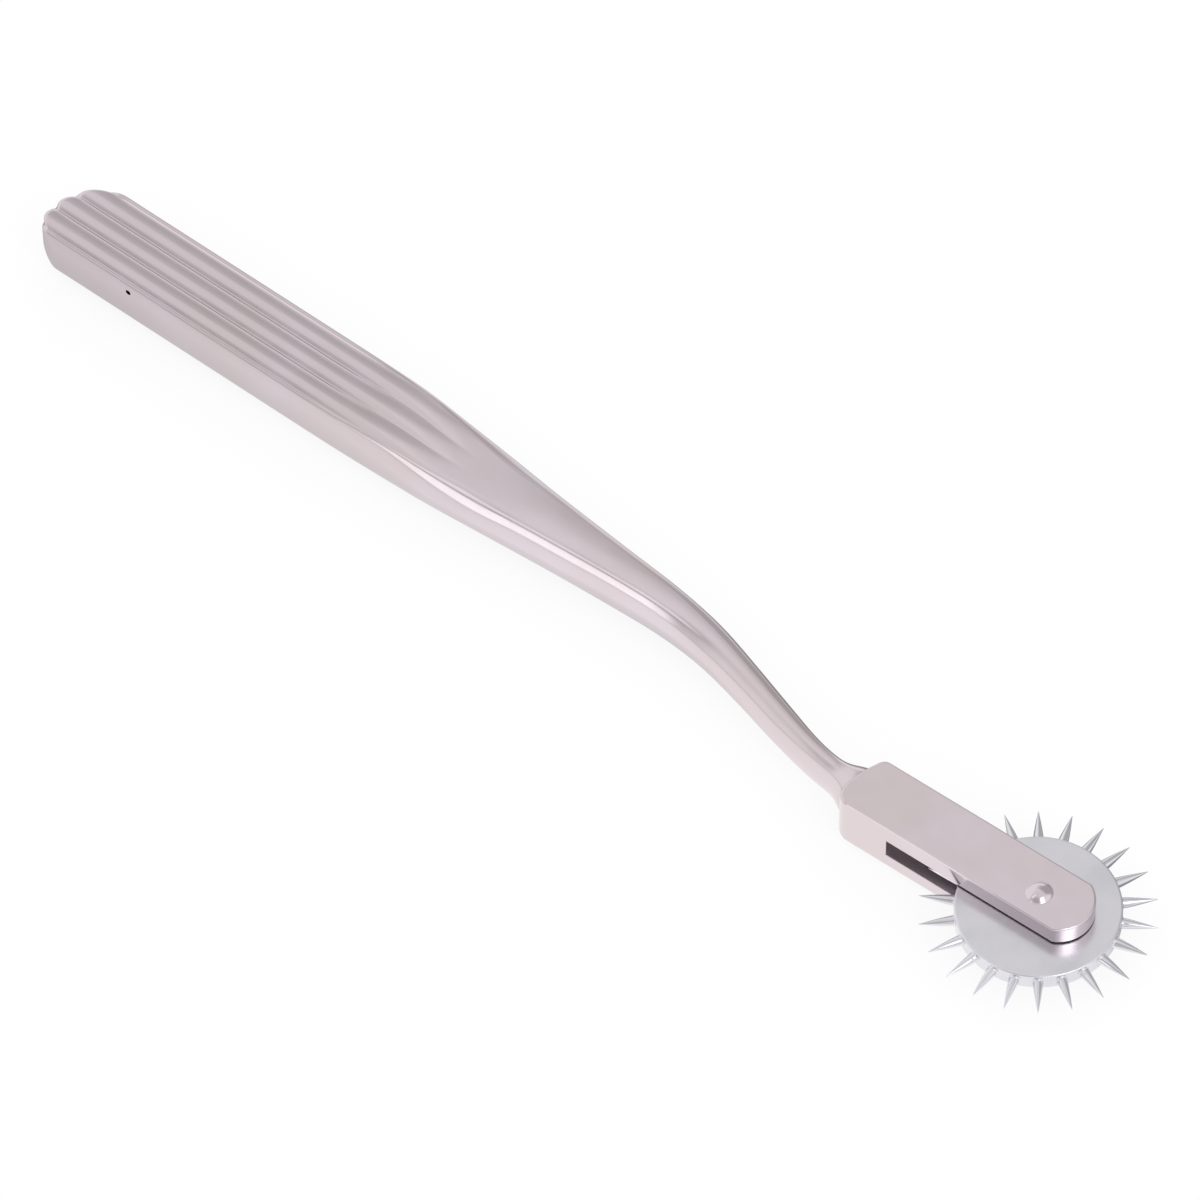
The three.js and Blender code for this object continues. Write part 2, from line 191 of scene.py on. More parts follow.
class PinwheelFinish(PropertyGroup):
    satin: colour("Satin steel", "Colour of the handle, fork and rivet", (227, 216, 222))
    satin_warm: colour("Warm satin steel", "Warmer tone that drifts over the satin steel",
                       (225, 212, 215))
    # Painted shade: a darker colour for the inside of the fork's slot, where shade falls; the slot's
    # steel is also duller
    raw_and_painted_shade: colour("Raw steel", "Dark tone inside the fork's slot", (188, 174, 180))
    bright: colour("Bright steel", "Colour of the polished disc and pins", (232, 230, 236))
    bright_grey: colour("Hazed bright steel", "Greyer tone of the haze on the polish", (224, 223, 229))
    satin_roughness: FloatProperty(name="Satin roughness", description="Roughness of the satin steel",
                                   default=0.13, min=0, max=1, subtype="FACTOR")
    raw_roughness: FloatProperty(name="Raw roughness", description="Roughness inside the fork's slot",
                                 default=0.5, min=0, max=1, subtype="FACTOR")
    bright_roughness: FloatProperty(name="Bright roughness", description="Roughness of the polish",
                                    default=0.22, min=0, max=1, subtype="FACTOR")
    pin_roughness: FloatProperty(name="Pin roughness", description="Roughness of the pins' polish",
                                 default=0.05, min=0, max=1, subtype="FACTOR")
    grain: length("Grain width", "Width of one line of the satin grain", 0.15 * MM)
    grain_depth: length("Grain depth", "Depth of the satin grain", 0.0002 * MM)


class PinwheelStudio(PropertyGroup):
    floor: length("Floor", "Side of the square floor", 3)
    distance: length("Camera distance", "Distance from the camera to the point it looks at", 2.0223)
    lens: FloatProperty(name="Lens", description="Focal length on a 36 mm wide sensor",
                        default=451.602 * MM, subtype="DISTANCE_CAMERA", unit="CAMERA")
    azimuth: FloatProperty(name="Azimuth", description="Camera's turn round the object",
                           default=math.radians(38.081), subtype="ANGLE", unit="ROTATION")
    elevation: FloatProperty(name="Elevation", description="Camera's angle over the floor",
                             default=math.radians(55.304), subtype="ANGLE", unit="ROTATION")
    aim: FloatVectorProperty(name="Aim", description="The point the camera looks at, from the axle",
                             default=(-76.66 * MM, 3.74 * MM, 0), subtype="TRANSLATION", unit="LENGTH")
    paper: colour("Paper", "Colour of the floor", (250, 250, 250))


# ---------------------------------------------------------------- shaping tools


def mix(first, second, share):
    """The value a share of the way from the first to the second."""
    return first + (second - first) * share


def smooth_run(values, share):
    """A value on the smooth curve through values set at even steps."""
    place = min(max(share, 0), 1) * (len(values) - 1)
    step = min(int(place), len(values) - 2)
    weight = place - step
    before, start = values[max(step - 1, 0)], values[step]
    end, after = values[step + 1], values[min(step + 2, len(values) - 1)]
    leave, arrive = (end - before) / 2, (after - start) / 2
    return ((2 * (start - end) + leave + arrive) * weight ** 3
            + (3 * (end - start) - 2 * leave - arrive) * weight ** 2 + leave * weight + start)


def smooth_step(value, low, high):
    """0 below low, 1 above high, and an even rise between them."""
    share = min(max((value - low) / (high - low), 0), 1)
    return share * share * (3 - 2 * share)


def tidy(mesh):
    """Merge doubles and turn every face outwards."""
    bmesh.ops.remove_doubles(mesh, verts=mesh.verts, dist=MERGE_DISTANCE)
    bmesh.ops.recalc_face_normals(mesh, faces=mesh.faces)


def finish_piece(mesh, name, body, nodes, material):
    """Turn a mesh into an object that rides on its body and stands for its nodes."""
    data = bpy.data.meshes.new(name)
    mesh.to_mesh(data)
    mesh.free()
    for face in data.polygons:
        face.use_smooth = True
    piece = bpy.data.objects.new(name, data)
    bpy.context.scene.collection.objects.link(piece)
    data.materials.append(material)
    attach(piece, body)
    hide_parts(*nodes)
    return piece


def turned(profile, steps):
    """A closed shape turned about Z from radii and heights that start and end on the axis."""
    mesh = bmesh.new()
    verts = [mesh.verts.new((radius, 0, height)) for radius, height in profile]
    edges = [mesh.edges.new(pair) for pair in zip(verts, verts[1:])]
    bmesh.ops.spin(mesh, geom=verts + edges, cent=(0, 0, 0), axis=(0, 0, 1),
                   angle=2 * math.pi, steps=steps, use_merge=True)
    tidy(mesh)
    return mesh


def arc(centre, radius, start, end, steps):
    """Points on an arc, angles in degrees, both ends included."""
    turns = [math.radians(mix(start, end, step / steps)) for step in range(steps + 1)]
    return [(centre[0] + radius * math.cos(turn), centre[1] + radius * math.sin(turn))
            for turn in turns]


# ---------------------------------------------------------------- finishes


class Nodes:
    """Adds nodes to a tree and links them in the order they are made."""

    def __init__(self, tree):
        self.tree = tree
        tree.nodes.clear()

    def add(self, kind, inputs=None, **settings):
        node = self.tree.nodes.new(kind)
        for name, value in settings.items():
            setattr(node, name, value)
        for socket, value in (inputs or {}).items():
            if isinstance(value, bpy.types.NodeSocket):
                self.tree.links.new(value, node.inputs[socket])
            else:
                node.inputs[socket].default_value = value
        return node

    def math(self, operation, *values):
        return self.add("ShaderNodeMath", dict(enumerate(values)), operation=operation).outputs[0]

    def spread(self, value, low, high, to_low, to_high, kind="LINEAR"):
        """A value mapped from one range to another."""
        inputs = {"Value": value, "From Min": low, "From Max": high,
                  "To Min": to_low, "To Max": to_high}
        return self.add("ShaderNodeMapRange", inputs, interpolation_type=kind).outputs["Result"]

    def blend(self, share, first, second):
        inputs = {0: share, 6: first, 7: second}
        return self.add("ShaderNodeMix", inputs, data_type="RGBA").outputs[2]


# How far the satin grain is drawn out along X on the handle and on the fork
HANDLE_GRAIN = (0.03, 1, 1)
FORK_GRAIN = (0.05, 1, 1)
# How many spots of each pattern lie on a metre of steel
DRIFT_SPOTS = 60
RUBBED_SPOTS = 320
HAZE_SPOTS = 140
WIPED_SPOTS = 900
# Between these two lies nearly all of a noise, and between the next what shows of the drift, of
# the haze in the colour and of the haze in the roughness
NOISE_RANGE = (0.3, 0.7)
DRIFT_RANGE = (0.35, 0.65)
HAZE_RANGE = (0.4, 0.7)
DULL_RANGE = (0.35, 0.7)
# What the grain does to the shade and the roughness of the satin steel,
# and what its rubbed patches take from the roughness and add to it
GRAIN_SHADE = (0.985, 1.0)
GRAIN_ROUGHNESS = (-0.015, 0.015)
RUBBED_LESS, RUBBED_MORE = 0.03, 0.05
# What the haze and the wipe marks add to the roughness of the bright steel
HAZE_ROUGHNESS = 0.05
WIPED_ROUGHNESS = 0.02
# How strongly the grain and the wipe marks are felt in the surface
GRAIN_STRENGTH = 0.6
WIPED_STRENGTH = 0.25
# How far the slot's painted shade and dull unfinished steel reach into the roundings round it
SLOT_MARGIN = 0.05 * MM


def opaque(parts):
    """A colour property as a node socket takes it."""
    return (*parts, 1)


def new_material(name):
    """A material and its empty tree."""
    material = bpy.data.materials.new(name)
    material.use_nodes = True
    return material, Nodes(material.node_tree)


def noise(nodes, place, scale, stretch=(1, 1, 1), detail=3, roughness=0.5):
    """Noise on the object's own coordinates, stretched along its axes."""
    mapping = nodes.add("ShaderNodeMapping", {"Vector": place, "Scale": stretch}, vector_type="POINT")
    texture = nodes.add("ShaderNodeTexNoise", {
        "Vector": mapping.outputs[0], "Scale": scale, "Detail": detail, "Roughness": roughness,
    })
    return texture.outputs["Fac"]


def in_slot(nodes, place, turn, start, gap):
    """1 inside the fork's slot, turned about the axle and running forward, where shade is painted, else
    0.
    """
    middle = nodes.add("ShaderNodeMapping", {
        "Vector": place, "Location": AXLE, "Rotation": (0, 0, turn),
    }, vector_type="TEXTURE")
    inside = nodes.add("ShaderNodeSeparateXYZ", {0: middle.outputs[0]})
    ahead = nodes.math("GREATER_THAN", inside.outputs[0], start - SLOT_MARGIN)
    height = nodes.math("ABSOLUTE", inside.outputs[2])
    between = nodes.math("LESS_THAN", height, gap / 2 + SLOT_MARGIN)
    return nodes.math("MULTIPLY", ahead, between)


def metal_surface(nodes, tone, rough, relief, strength, depth):
    """End a metal's tree with a bare metal surface that has a fine relief."""
    bump = nodes.add("ShaderNodeBump", {"Strength": strength, "Distance": depth, "Height": relief})
    shader = nodes.add("ShaderNodeBsdfPrincipled", {
        "Base Color": tone, "Metallic": 1.0, "Roughness": rough, "Normal": bump.outputs[0],
    })
    nodes.add("ShaderNodeOutputMaterial", {"Surface": shader.outputs[0]})


def satin_steel(name, finish, stretch=(1, 1, 1), slot=None):
    """Satin steel: fine grain along one direction, a warm drift, rubbed patches, and a dull unfinished
    slot with painted shade.
    """
    material, nodes = new_material(name)
    place = nodes.add("ShaderNodeTexCoord").outputs["Object"]
    grain = noise(nodes, place, 1 / finish.grain, stretch=stretch, detail=2)
    drift = noise(nodes, place, DRIFT_SPOTS, detail=2)
    rubbed = noise(nodes, place, RUBBED_SPOTS, detail=4, roughness=0.6)
    tone = nodes.blend(nodes.spread(drift, *DRIFT_RANGE, 0, 1, "SMOOTHSTEP"),
                       opaque(finish.satin), opaque(finish.satin_warm))
    shade = nodes.spread(grain, *NOISE_RANGE, *GRAIN_SHADE)
    tone = nodes.add("ShaderNodeVectorMath", {0: tone, "Scale": shade}, operation="SCALE").outputs[0]
    low = finish.satin_roughness
    rough = nodes.math("ADD", nodes.spread(rubbed, *NOISE_RANGE, low - RUBBED_LESS, low + RUBBED_MORE),
                       nodes.spread(grain, *NOISE_RANGE, *GRAIN_ROUGHNESS))
    if slot:
        # Painted shade: inside the slot the colour is darkened, and the roughness is raised to dull
        # steel
        raw_and_painted_shade = in_slot(nodes, place, *slot)
        tone = nodes.blend(raw_and_painted_shade, tone, opaque(finish.raw_and_painted_shade))
        rough = nodes.spread(raw_and_painted_shade, 0, 1, rough, finish.raw_roughness)
    metal_surface(nodes, tone, rough, grain, GRAIN_STRENGTH, finish.grain_depth)
    return material


def bright_steel(name, finish, low):
    """Polished plating: a faint haze over a lowest roughness, and fine wipe marks."""
    material, nodes = new_material(name)
    place = nodes.add("ShaderNodeTexCoord").outputs["Object"]
    haze = noise(nodes, place, HAZE_SPOTS, detail=3, roughness=0.55)
    wiped = noise(nodes, place, WIPED_SPOTS, detail=3)
    tone = nodes.blend(nodes.spread(haze, *HAZE_RANGE, 0, 1, "SMOOTHSTEP"),
                       opaque(finish.bright), opaque(finish.bright_grey))
    rough = nodes.math("ADD", nodes.spread(haze, *DULL_RANGE, low, low + HAZE_ROUGHNESS),
                       nodes.spread(wiped, *NOISE_RANGE, 0, WIPED_ROUGHNESS))
    metal_surface(nodes, tone, rough, wiped, WIPED_STRENGTH, finish.grain_depth)
    return material


# ---------------------------------------------------------------- handle

# Ribs: their number, steps across one, where its crest lies from its near edge, and how full it is
RIB_COUNT = 3
RIB_STEPS = 8
RIB_CREST = 0.4
RIB_FULLNESS = 2.5
# Sides: steps round one, and the exponent that makes the grip's boxier than an ellipse
SIDE_STEPS = 10
GRIP_SIDE_SHARE = 0.7
# Rings on the upright end: share of the section, mm behind the end's surface, share of the ribs
END_RINGS = ((0.1, 0, 0.8), (0.3, 0, 0.8), (0.55, 0, 0.8), (0.75, 0, 0.8), (0.89, 0, 0.8),
             (0.97, 0.05, 0.85), (1, 0.35, 0.9), (1, 1, 0.9), (1, 2.2, 1))
# The share of the end's section from which the scallops rise, and how far behind it the creases do
SCALLOPS_FROM = 0.75
CREASE_RISE = (-0.5 * MM, 1.2 * MM)
# Sections along the straight grip, and steps along the ribs' run-out and from the grip to the fork
GRIP_PLACES = (12 * MM, 24 * MM, 32 * MM, 40 * MM)
FADE_STEPS = 4
SHANK_STEPS = 40
# How far into the fork the neck's course is worked out
NECK_RUN_IN = 1.3 * MM
# How late the neck widens into its flare, where 1 is evenly
FLARE_LATENESS = 3
# How far behind the flared neck the tang starts
TANG_STEP = 0.1 * MM
# How near a groove's middle an edge lies that belongs to it, as a share of half the flat
GROOVE_REACH = 0.04
# Dimple, as shares of its width: half its face and the border that holds it before smoothing,
# how much narrower each of its rings is, and how deep each lies under the last
DIMPLE_HALF_FACE, DIMPLE_BORDER, DIMPLE_TAPER = 0.75, 1 / 8, 1 / 30
DIMPLE_DEPTHS = (0.1, 1.5, 1.5)
SMOOTHING_LEVELS = 2


def section_marks():
    """Places round the section: far side, top, near side, underside."""
    marks = []
    face_steps = RIB_COUNT * RIB_STEPS
    for side in (1, -1):
        marks += [(side, math.pi * (step / SIDE_STEPS - 0.5), 0) for step in range(1, SIDE_STEPS)]
        marks += [(0, side, side * (1 - 2 * step / face_steps)) for step in range(face_steps + 1)]
    return marks


def rib_drop(across):
    """How far the surface drops below a rib's crest, as a share of the groove's depth."""
    place = (across + 1) / 2 * RIB_COUNT
    place -= min(int(place), RIB_COUNT - 1)
    from_crest = (place - RIB_CREST) / ((1 if place > RIB_CREST else 0) - RIB_CREST)
    return from_crest ** RIB_FULLNESS


def section_size(handle, along, rear):
    """Sizes of the section at a distance from the grip's end. The neck meets the fork at rear."""
    run = rear + NECK_RUN_IN - handle.grip
    share = max(0, along - handle.grip) / run
    flare = min(max(0, along - (rear - handle.flare)) / handle.flare, 1) ** FLARE_LATENESS
    to_neck = smooth_run(TO_NECK_SHARES, share)
    width = mix(handle.neck_width, handle.width, smooth_run(WIDTH_SHARES, share))
    shank = mix(handle.thickness, handle.shank_thickness, smooth_run(TO_SHANK_SHARES, share))
    flat = mix(handle.neck_flat, handle.ribbed_width, smooth_run(FLAT_SHARES, share))
    ribs = 1 - smooth_step(along, handle.fade_from, handle.fade_from + handle.fade_length)
    return {
        "along": along,
        "beside": handle.crank * smooth_run(SIDE_STEP_SHARES, share),
        "half_width": mix(width, handle.flare_width, flare) / 2,
        "half_flat": flat / 2,
        "half_height": mix(mix(shank, handle.neck_thickness, to_neck),
                           handle.flare_thickness, flare) / 2,
        "ribs": ribs,
        "side_share": mix(1, GRIP_SIDE_SHARE, ribs),
        "share": 1,
        "behind": None,
    }


def section_point(handle, mark, size):
    """One point of the section. The sides swell out from the outermost grooves."""
    side, turn, across = mark
    depth = size["ribs"] * handle.rib_depth
    crown_to = handle.crown_from + handle.crown_run
    crown = handle.crown * smooth_step(size["along"], handle.crown_from, crown_to)
    if side == 0:
        beside = size["half_flat"] * across
        up = turn * (size["half_height"] - depth * rib_drop(across)
                     - crown * size["half_flat"] * across ** 2)
    else:
        slope = size["side_share"]
        if side < 0 and turn < 0:
            slope = mix(handle.near_slope, slope, size["ribs"])
        bulge = abs(math.cos(turn)) ** slope
        rise = math.copysign(abs(math.sin(turn)) ** slope, math.sin(turn))
        beside = side * mix(size["half_flat"], size["half_width"], bulge)
        lower = crown * (2 * abs(beside) - size["half_flat"])
        up = side * rise * (size["half_height"] - depth * (1 - bulge) - lower)
    beside, up = beside * size["share"], up * size["share"]
    along = size["along"]
    if size["behind"] is not None:
        along = end_inset(handle, beside, up) + size["behind"]
        if side == 0:
            along += (handle.end_scallop * rib_drop(across)
                      * smooth_step(size["share"], SCALLOPS_FROM, 1))
    return Vector((along, size["beside"] + beside, up))


def end_inset(handle, beside, up):
    """How far the grip's upright end lies behind its foremost place, at a place of the section."""
    from_nose = beside + handle.end_nose
    reach = handle.width / 2 + math.copysign(handle.end_nose, from_nose)
    share = min(abs(from_nose) / reach, 1)
    low = max(0, -up) / (handle.thickness / 2)
    rounding = handle.end_near if from_nose < 0 else handle.end_far
    return rounding * (1 - math.sqrt(1 - share ** 2)) + handle.end_under * low ** 2


def handle_sections(handle, rear):
    """Sections from the grip's upright end to the neck's end inside the fork."""
    sections = []
    for share, behind, ribs in END_RINGS:
        size = section_size(handle, 0, rear)
        size.update(share=share, behind=behind * MM, ribs=ribs)
        sections.append(size)
    beside_dimple = (handle.dimple_from_end - handle.dimple, handle.dimple_from_end + handle.dimple)
    places = sorted((*GRIP_PLACES, *beside_dimple))
    places += [mix(handle.fade_from, handle.grip, step / FADE_STEPS) for step in range(FADE_STEPS)]
    places += [mix(handle.grip, rear, step / SHANK_STEPS) for step in range(SHANK_STEPS + 1)]
    places += [rear + handle.sunk]
    return sections + [section_size(handle, along, rear) for along in places]


def loft(rings):
    """A closed skin through rings of points: one outline, extruded and shaped to each ring in turn."""
    mesh = bmesh.new()
    bmesh.ops.create_circle(mesh, cap_ends=True, segments=len(rings[0]), radius=1)
    cap = next(iter(mesh.faces))
    for vert, point in zip(cap.verts, rings[0]):
        vert.co = point
    for ring in rings[1:]:
        made = bmesh.ops.extrude_face_region(mesh, geom=[cap, *cap.edges])
        cap = next(part for part in made["geom"] if isinstance(part, bmesh.types.BMFace))
        for vert, point in zip(cap.verts, ring):
            vert.co = point
    tidy(mesh)
    return mesh


class PINWHEEL_OT_handle(Operator):
    """Make the ribbed grip, the shank and the cranked neck as one forged piece"""
    bl_idname = "pinwheel.handle"
    bl_label = "Handle"

    def execute(self, context):
        handle, fork = context.scene.pinwheel_handle, context.scene.pinwheel_fork
        end = Vector((HANDLE_LOW.x, AXLE.y, AXLE.z))
        rear = AXLE.x + fork.nose_reach - fork.length - end.x
        marks = section_marks()
        sections = handle_sections(handle, rear)
        rings = [[end + section_point(handle, mark, size) for mark in marks] for size in sections]
        rings += self.tang_rings(handle, end, rear, sections[-1]["beside"], len(marks))
        mesh = loft(rings)
        self.crease_grooves(mesh, handle, end, rear)
        self.press_dimple(mesh, handle, end, rear)
        piece = finish_piece(mesh, "handle_forging", "holder", ["handle"],
                             satin_steel("satin_handle", context.scene.pinwheel_finish, HANDLE_GRAIN))
        fine = piece.modifiers.new("smooth_skin", "SUBSURF")
        fine.levels = fine.render_levels = SMOOTHING_LEVELS
        return {"FINISHED"}

    @staticmethod
    def tang_rings(handle, end, rear, beside, count):
        """Two rings of the round tang, from just behind the flared neck to its end inside the fork."""
        reach = handle.tang_diameter / 2
        turns = [2 * math.pi * place / count - math.pi / 2 for place in range(count)]
        circle = [(beside + reach * math.cos(turn), reach * math.sin(turn)) for turn in turns]
        return [[end + Vector((along, *point)) for point in circle]
                for along in (rear + handle.sunk + TANG_STEP, rear + handle.tang)]

    @staticmethod
    def crease_grooves(mesh, handle, end, rear):
        """Keep the grooves sharp where the ribs are, and let them soften where the ribs run out."""
        crease = mesh.edges.layers.float.new("crease_edge")
        grooves = [2 * rib / RIB_COUNT - 1 for rib in range(RIB_COUNT + 1)]
        for edge in mesh.edges:
            middle = (edge.verts[0].co + edge.verts[1].co) / 2 - end
            if abs(edge.verts[0].co.x - edge.verts[1].co.x) < CLOSE or middle.x > rear:
                continue
            size = section_size(handle, max(middle.x, 0), rear)
            across = (middle.y - size["beside"]) / size["half_flat"]
            behind = middle.x - end_inset(handle, middle.y - size["beside"], middle.z)
            if min(abs(across - groove) for groove in grooves) < GROOVE_REACH:
                edge[crease] = size["ribs"] * smooth_step(behind, *CREASE_RISE)

    @staticmethod
    def press_dimple(mesh, handle, end, rear):
        """Drill the small dimple into the grip's near side, from a face that smoothing draws in."""
        size = section_size(handle, handle.dimple_from_end, rear)
        near = size["beside"] - size["half_width"]
        spot = end + Vector((handle.dimple_from_end, near, handle.dimple_height))
        half, border, taper = (share * handle.dimple
                               for share in (DIMPLE_HALF_FACE, DIMPLE_BORDER, DIMPLE_TAPER))
        face = min(mesh.faces, key=lambda face: (face.calc_center_median() - spot).length)
        bmesh.ops.inset_individual(mesh, faces=[face], thickness=border)
        middle, slope = face.calc_center_median(), face.normal
        for vert in face.verts:
            vert.co.x = spot.x + math.copysign(half, vert.co.x - middle.x)
            vert.co.z = spot.z + math.copysign(half, vert.co.z - middle.z)
            along, up = vert.co.x - middle.x, vert.co.z - middle.z
            vert.co.y = middle.y - (slope.x * along + slope.z * up) / slope.y
        for depth in DIMPLE_DEPTHS:
            bmesh.ops.inset_individual(mesh, faces=[face], thickness=taper,
                                       depth=-handle.dimple * depth)


# ---------------------------------------------------------------- fork

# Fineness of the nose, the rear corners in plan and the rounded edges
NOSE_STEPS = 24
CORNER_STEPS = 8
EDGE_STEPS = 6
# Edges with a sharper turn than this are rounded, or kept sharp where they stand upright
SHARP_TURN = math.radians(40)


def fork_half(fork):
    """The lower half of the fork about the axle: a cheek, and half of the block behind the slot."""
    half = fork.width / 2
    nose_turn = math.asin(half / fork.nose_radius)
    bottom = -(fork.gap / 2 + fork.cheek)
    mesh = bmesh.new()
    nose_x = fork.nose_reach - fork.nose_radius
    start = mesh.verts.new((nose_x + fork.nose_radius * math.cos(nose_turn), -half, bottom))
    bmesh.ops.spin(mesh, geom=[start], cent=(nose_x, 0, bottom), axis=(0, 0, 1),
                   angle=2 * nose_turn, steps=NOSE_STEPS)
    nose = sorted(mesh.verts, key=lambda vert: math.atan2(vert.co.y, vert.co.x - nose_x))
    slot_x = fork.nose_reach - fork.slot
    rear_x = fork.nose_reach - fork.length
    outline = [(slot_x, half), (rear_x + fork.rear_slant, half), (rear_x, 0),
               (rear_x, -half), (slot_x, -half)]
    corners = [mesh.verts.new((x, y, bottom)) for x, y in outline]
    mesh.faces.new([*nose, corners[0], corners[-1]])
    mesh.faces.new(corners)
    for corner, radius in zip(corners[1:4], (fork.far_corner, fork.near_corner, fork.near_corner)):
        bmesh.ops.bevel(mesh, geom=[corner], offset=radius, offset_type="OFFSET",
                        affect="VERTICES", segments=CORNER_STEPS, profile=0.5, material=-1)
    return mesh


def raise_part(mesh, geom, height, keep=False):
    """Extrude a part of the mesh upwards, and give the raised faces. A copy can be left below."""
    made = bmesh.ops.extrude_face_region(mesh, geom=geom, use_keep_orig=keep)["geom"]
    verts = [part for part in made if isinstance(part, bmesh.types.BMVert)]
    bmesh.ops.translate(mesh, verts=verts, vec=(0, 0, height))
    return [part for part in made if isinstance(part, bmesh.types.BMFace)]


class PINWHEEL_OT_fork(Operator):
    """Make the slotted fork that holds the wheel, with its rounded nose and rear shoulders"""
    bl_idname = "pinwheel.fork"
    bl_label = "Fork"

    def execute(self, context):
        fork = context.scene.pinwheel_fork
        mesh = fork_half(fork)
        slot_x = fork.nose_reach - fork.slot
        cheek = raise_part(mesh, mesh.faces[:], fork.cheek, keep=True)
        block = next(face for face in cheek if face.calc_center_median().x < slot_x)
        middle = raise_part(mesh, [block, *block.edges], fork.gap / 2)
        bmesh.ops.delete(mesh, geom=middle, context="FACES_ONLY")
        bmesh.ops.mirror(mesh, geom=mesh.verts[:] + mesh.edges[:] + mesh.faces[:],
                         matrix=Matrix.Identity(4), merge_dist=MERGE_DISTANCE, axis="Z")
        tidy(mesh)
        self.weigh_edges(mesh, fork)
        place = (Matrix.Translation(AXLE) @ Matrix.Rotation(fork.turn, 4, "Z")
                 @ Matrix.Translation((0, fork.side_step, 0)))
        bmesh.ops.transform(mesh, matrix=place, verts=mesh.verts)
        steel = satin_steel("satin_fork", context.scene.pinwheel_finish, FORK_GRAIN,
                            slot=(fork.turn, slot_x, fork.gap))
        piece = finish_piece(mesh, "fork_block", "holder", ["fork"], steel)
        edges = piece.modifiers.new("rounded_edges", "BEVEL")
        edges.width = fork.heel_edge
        edges.segments = EDGE_STEPS
        edges.limit_method = "WEIGHT"
        edges.harden_normals = True
        return {"FINISHED"}

    @staticmethod
    def weigh_edges(mesh, fork):
        """Give each edge its share of the widest rounding. The slot's upright edges stay sharp."""
        weight = mesh.edges.layers.float.new("bevel_weight_edge")
        half_height = fork.gap / 2 + fork.cheek
        slot_x = fork.nose_reach - fork.slot
        for edge in mesh.edges:
            first, second = (vert.co for vert in edge.verts)
            if edge.calc_face_angle_signed() < SHARP_TURN:
                continue
            if abs(first.z - second.z) > CLOSE:
                edge.smooth = False
                continue
            size = fork.slot_edge
            if abs(abs(first.z) - half_height) < CLOSE:
                at_rear = max(first.x, second.x) < slot_x
                crosswise = abs((second - first).normalized().y) if at_rear else 0
                plain, rear = ((fork.under_edge, fork.heel_edge) if first.z < 0
                               else (fork.top_edge, fork.rear_edge))
                size = mix(plain, rear, crosswise)
            edge[weight] = size / fork.heel_edge


# ---------------------------------------------------------------- rivet and wheel

# Fineness of the turned pieces: round the axis, and along each curve of the profile
RIVET_STEPS, DOME_STEPS, FILLET_STEPS = 64, 12, 6
DISC_STEPS, RIM_STEPS = 192, 5
PIN_STEPS, PIN_FOOT_STEPS, TAPER_STEPS = 32, 4, 12
# Width of the narrow faces beside the disc's roundings, which keep its flats flat to the eye
DISC_BORDER = 0.04 * MM


class PINWHEEL_OT_rivet(Operator):
    """Make the axle rivet with a low dome on each cheek"""
    bl_idname = "pinwheel.rivet"
    bl_label = "Axle rivet"

    def execute(self, context):
        rivet, fork = context.scene.pinwheel_rivet, context.scene.pinwheel_fork
        half = fork.gap / 2 + fork.cheek
        reach, fillet = rivet.head / 2, rivet.fillet
        dome = (reach ** 2 + rivet.height ** 2) / (2 * rivet.height) - fillet
        low = half + rivet.height - dome
        foot = half + fillet
        rise = math.degrees(math.atan2(foot - low, reach))
        crown = arc((0, low), dome, 90, rise, DOME_STEPS)
        crown[0] = (0, half + rivet.height)
        hollow = arc((reach, foot), fillet, 180 + rise, 270, FILLET_STEPS)
        upper = [*crown, *hollow, (rivet.diameter / 2, half)]
        profile = upper + [(r, -z) for r, z in reversed(upper)]
        mesh = turned(profile, RIVET_STEPS)
        bmesh.ops.translate(mesh, verts=mesh.verts, vec=AXLE)
        finish_piece(mesh, "rivet_domed", "holder", ["axle_rivet"],
                     satin_steel("satin_rivet", context.scene.pinwheel_finish))
        return {"FINISHED"}


class PINWHEEL_OT_disc(Operator):
    """Turn the polished disc with its bore and rounded rims"""
    bl_idname = "pinwheel.disc"
    bl_label = "Wheel disc"

    def execute(self, context):
        wheel, finish = context.scene.pinwheel_wheel, context.scene.pinwheel_finish
        outer, inner, half = wheel.disc / 2, wheel.bore / 2, wheel.thickness / 2
        flat_to, wall_to = outer - wheel.rim, half - wheel.rim
        rim = arc((flat_to, wall_to), wheel.rim, 90, 0, RIM_STEPS)
        upper = [(inner, 0), (inner, half - DISC_BORDER), (inner + DISC_BORDER, half),
                 (inner + 3 * DISC_BORDER, half), (flat_to - 2 * DISC_BORDER, half),
                 *rim, (outer, wall_to - 2 * DISC_BORDER)]
        profile = upper + [(r, -z) for r, z in reversed(upper)]
        mesh = turned(profile, DISC_STEPS)
        bmesh.ops.translate(mesh, verts=mesh.verts, vec=AXLE)
        finish_piece(mesh, "disc_polished", "wheel", ["wheel_disc"],
                     bright_steel("bright_disc", finish, finish.bright_roughness))
        return {"FINISHED"}


